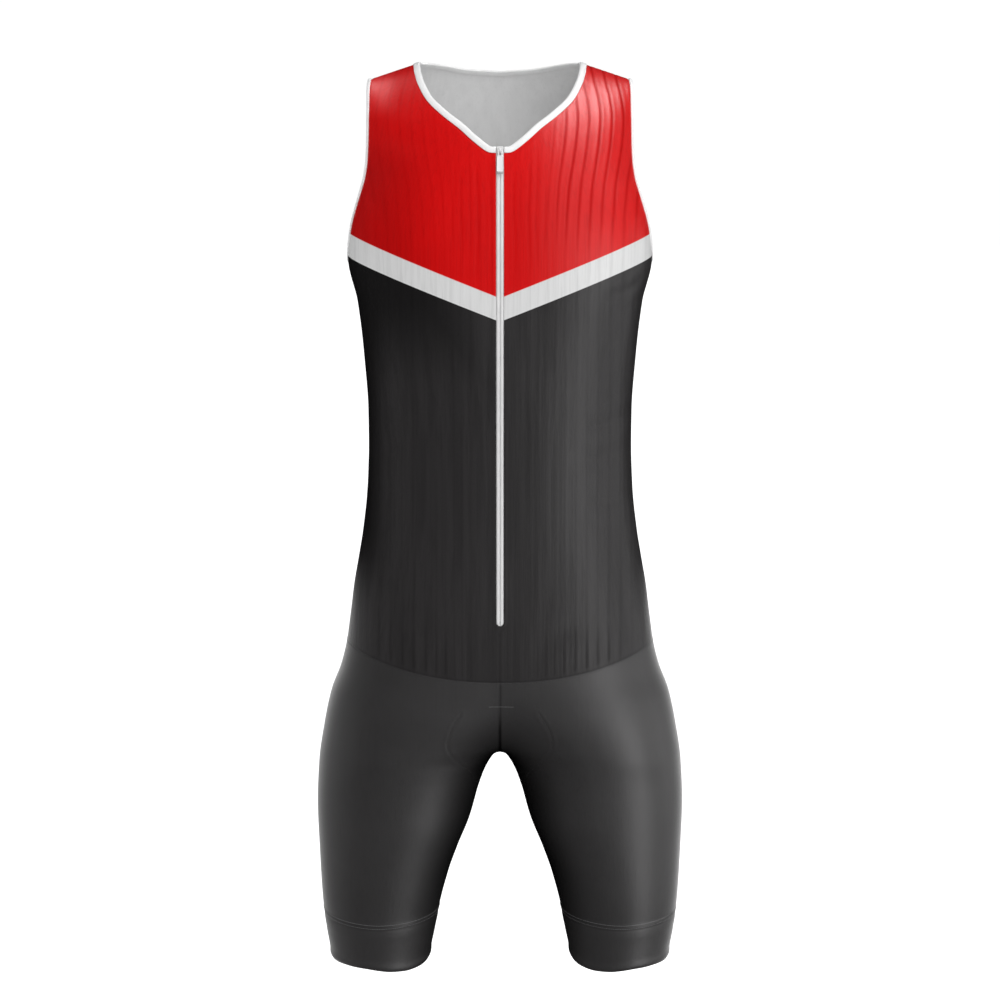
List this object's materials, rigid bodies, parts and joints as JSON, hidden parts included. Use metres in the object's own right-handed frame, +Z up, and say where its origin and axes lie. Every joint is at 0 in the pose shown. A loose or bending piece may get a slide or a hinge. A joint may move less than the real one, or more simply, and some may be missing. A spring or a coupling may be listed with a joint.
{
  "type": "skinsuit",
  "caption": "Hollow sleeveless one-piece sports suit with short gripper-cuffed legs, bound V-neck and armholes and a long front zip, filled out as when worn",
  "frame": {"origin": "midway between the two neck-side points of the shoulders, where the suit rests on a wearer or a hanger", "axes": "+Z up, front of the suit towards -Y, +X to the right as seen from the front"},
  "size_m": [0.3868, 0.2388, 0.9444],
  "materials": {
    "front_print": "smooth stretch knit, printed red above a white chevron, near black below",
    "back_print": "smooth stretch knit, printed red above a white band, near black below",
    "leg_knit": "charcoal stretch knit with a soft sheen",
    "cuff_knit": "charcoal elastic knit band",
    "binding_white": "folded white elastic tape",
    "zip_tape_white": "white zip tape and coil",
    "slider_white": "white lacquer",
    "pull_white": "smooth moulded"
  },
  "bodies": {
    "garment": {"front_left": "front_print", "front_right": "front_print", "back": "back_print", "leg_left": "leg_knit", "leg_right": "leg_knit", "cuff_left": "cuff_knit", "cuff_right": "cuff_knit", "neck_binding": "binding_white", "armhole_binding_left": "binding_white", "armhole_binding_right": "binding_white", "zip_tape_left": "zip_tape_white", "zip_tape_right": "zip_tape_white", "zip_slider": "slider_white"},
    "pull_tab": {"zip_pull": "pull_white"}
  },
  "joints": [
    {"name": "pull_swing", "type": "hinge", "parent": "garment", "child": "pull_tab", "pos_m": [0, -0.09979, -0.08437], "axis": [-1, 0, 0], "range_deg": [0, 150]}
  ]
}
